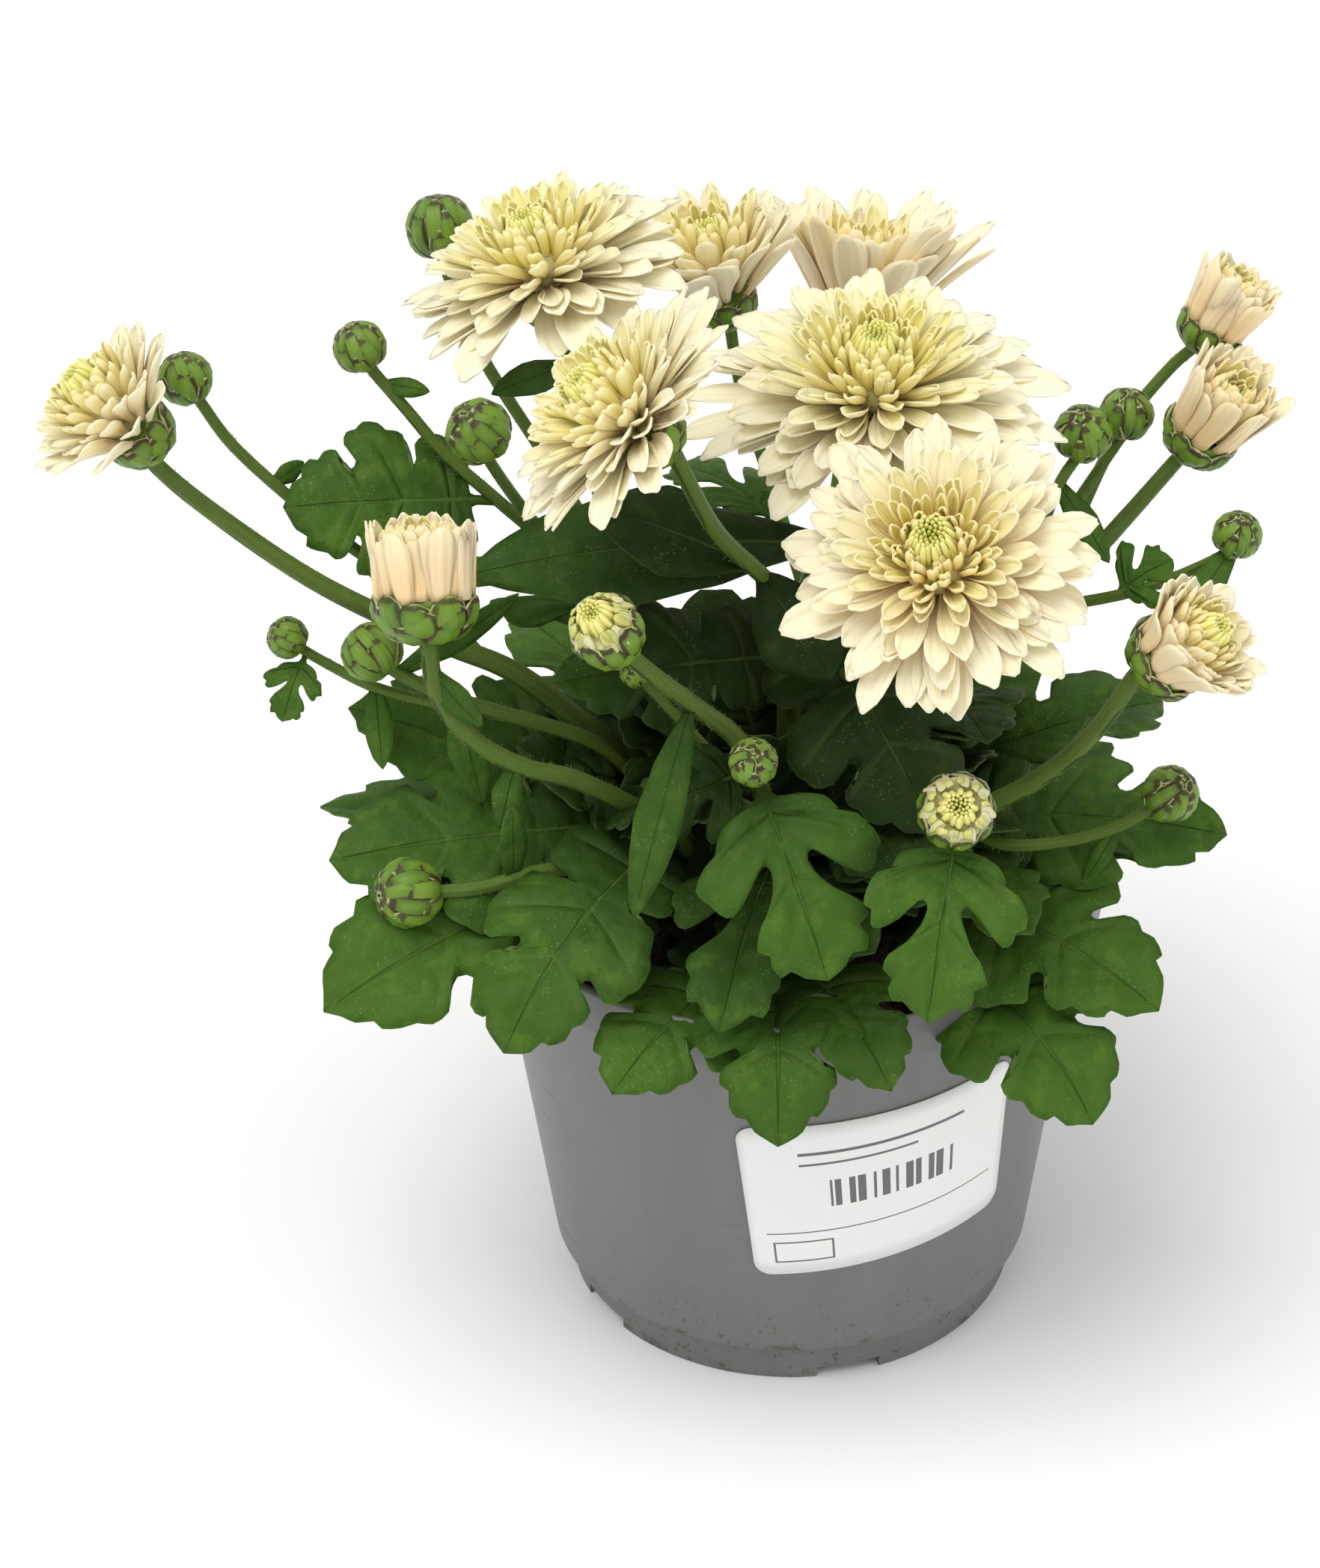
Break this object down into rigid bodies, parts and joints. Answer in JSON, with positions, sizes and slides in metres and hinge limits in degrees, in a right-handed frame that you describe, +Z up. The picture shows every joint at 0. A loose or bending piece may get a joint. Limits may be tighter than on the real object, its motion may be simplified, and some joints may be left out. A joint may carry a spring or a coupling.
{
  "type": "potted chrysanthemum",
  "caption": "Pot chrysanthemum with cream double flowers, half-open heads, green buds and lobed leaves on leafy stems, in a grey plastic grower's pot with a paper sticker.",
  "frame": {"origin": "on the pot's axis, on the surface that its foot ring stands on", "axes": "+Z up along the pot's axis; the side shown in the picture looks along azimuth -40 degrees, between +X and -Y"},
  "size_m": [0.1967, 0.1631, 0.2001],
  "materials": {
    "grey_plastic": "satin moulded polypropylene",
    "label_paper": "smooth coated paper",
    "potting_soil": "rough, damp and crumbly",
    "leaf_green": "matte living tissue with a fine down",
    "petal_cream": "soft satin petals"
  },
  "bodies": {
    "root": {"pot": "grey_plastic", "label": "label_paper", "soil": "potting_soil", "stem_left": "leaf_green", "stem_front": "leaf_green", "stem_right": "leaf_green", "stem_back_right": "leaf_green", "stem_back": "leaf_green", "stem_back_left": "leaf_green", "stem_centre": "leaf_green", "bloom_back_left": "petal_cream", "bloom_centre_left": "petal_cream", "bloom_centre": "petal_cream", "bloom_front": "petal_cream", "bloom_back_right": "petal_cream", "bloom_back": "petal_cream", "bloom_far_left": "petal_cream", "head_left": "petal_cream", "head_right_back": "petal_cream", "head_right": "petal_cream", "head_front_right": "petal_cream", "opening_bud_left": "petal_cream", "opening_bud_right": "petal_cream"}
  },
  "joints": []
}
